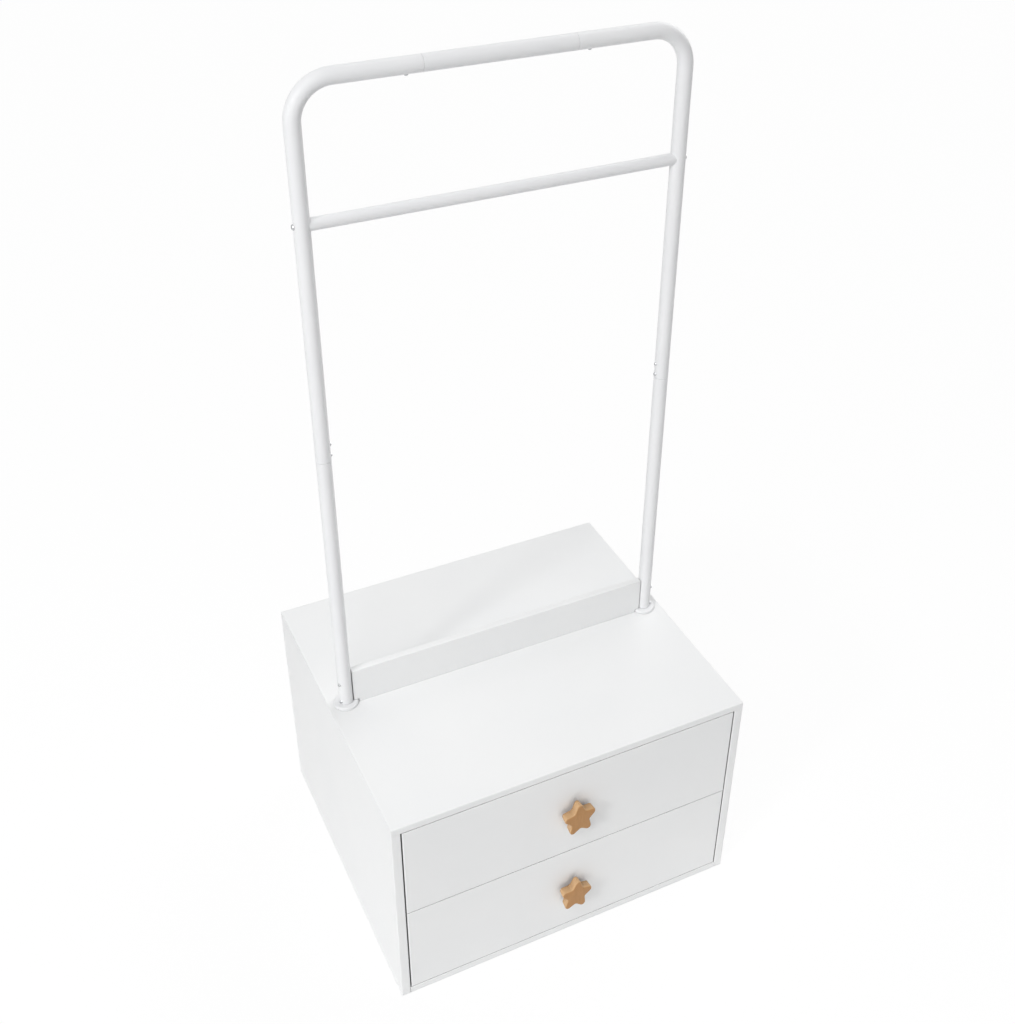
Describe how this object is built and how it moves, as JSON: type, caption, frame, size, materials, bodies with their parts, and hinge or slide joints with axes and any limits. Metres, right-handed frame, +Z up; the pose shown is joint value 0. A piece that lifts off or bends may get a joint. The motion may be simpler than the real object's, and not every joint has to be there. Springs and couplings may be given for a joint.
{
  "type": "kids clothing rack with two drawers",
  "caption": "White clothing rack for a child: an arched tube frame with a crossbar stands on a low drawer cabinet with star knobs.",
  "frame": {"origin": "on the floor, under the middle of the cabinet", "axes": "+X to the right seen from the front, +Y to the back, +Z up; the drawers open towards -Y"},
  "size_m": [0.6, 0.5455, 1.403],
  "materials": {
    "white_board": "white satin laminate on fibreboard",
    "white_sheet": "thin hardboard with a white face",
    "white_tube": "white powder coat, semi-gloss",
    "zinc_steel": "zinc-plated steel",
    "slide_steel": "bright galvanised sheet steel",
    "beech": "clear-oiled beech, fine grain",
    "dowel_wood": "raw beech"
  },
  "bodies": {
    "cabinet": {"top_panel": "white_board", "bottom_panel": "white_board", "left_side_panel": "white_board", "right_side_panel": "white_board", "back_panel": "white_sheet", "divider_board": "white_board", "divider_screws": "zinc_steel", "cam_bolts": "zinc_steel", "cam_locks": "zinc_steel", "dowels": "dowel_wood", "left_post_foot": "white_tube", "right_post_foot": "white_tube", "foot_bolts": "zinc_steel", "lower_left_post": "white_tube", "lower_right_post": "white_tube", "left_corner_tube": "white_tube", "right_corner_tube": "white_tube", "top_centre_tube": "white_tube", "crossbar": "white_tube", "crossbar_plugs": "zinc_steel", "foot_screws": "zinc_steel", "post_screws": "zinc_steel", "top_rail_screws": "zinc_steel", "crossbar_screws": "zinc_steel", "upper_left_rail": "slide_steel", "upper_right_rail": "slide_steel", "lower_left_rail": "slide_steel", "lower_right_rail": "slide_steel", "rail_screws": "zinc_steel"},
    "upper_drawer": {"upper_drawer_front": "white_board", "upper_drawer_left_side": "white_board", "upper_drawer_right_side": "white_board", "upper_drawer_back": "white_board", "upper_drawer_bottom": "white_sheet", "upper_left_runner": "slide_steel", "upper_right_runner": "slide_steel", "upper_runner_screws": "zinc_steel", "upper_drawer_cam_locks": "zinc_steel", "upper_drawer_cam_bolts": "zinc_steel", "upper_drawer_back_screws": "zinc_steel", "upper_knob": "beech", "upper_knob_screw": "zinc_steel"},
    "lower_drawer": {"lower_drawer_front": "white_board", "lower_drawer_left_side": "white_board", "lower_drawer_right_side": "white_board", "lower_drawer_back": "white_board", "lower_drawer_bottom": "white_sheet", "lower_left_runner": "slide_steel", "lower_right_runner": "slide_steel", "lower_runner_screws": "zinc_steel", "lower_drawer_cam_locks": "zinc_steel", "lower_drawer_cam_bolts": "zinc_steel", "lower_drawer_back_screws": "zinc_steel", "lower_knob": "beech", "lower_knob_screw": "zinc_steel"},
    "upper_cages": {"upper_left_cage": "slide_steel", "upper_right_cage": "slide_steel"},
    "lower_cages": {"lower_left_cage": "slide_steel", "lower_right_cage": "slide_steel"}
  },
  "joints": [
    {"name": "upper_drawer_slide", "type": "slide", "parent": "cabinet", "child": "upper_drawer", "axis": [0, -1, 0], "range_m": [0, 0.3]},
    {"name": "lower_drawer_slide", "type": "slide", "parent": "cabinet", "child": "lower_drawer", "axis": [0, -1, 0], "range_m": [0, 0.3]},
    {"name": "upper_cage_slide", "type": "slide", "parent": "cabinet", "child": "upper_cages", "axis": [0, -1, 0], "range_m": [0, 0.15]},
    {"name": "lower_cage_slide", "type": "slide", "parent": "cabinet", "child": "lower_cages", "axis": [0, -1, 0], "range_m": [0, 0.15]}
  ],
  "couplings": [
    {"joint": "upper_cage_slide", "follows": "upper_drawer_slide", "ratio": 0.5},
    {"joint": "lower_cage_slide", "follows": "lower_drawer_slide", "ratio": 0.5}
  ]
}
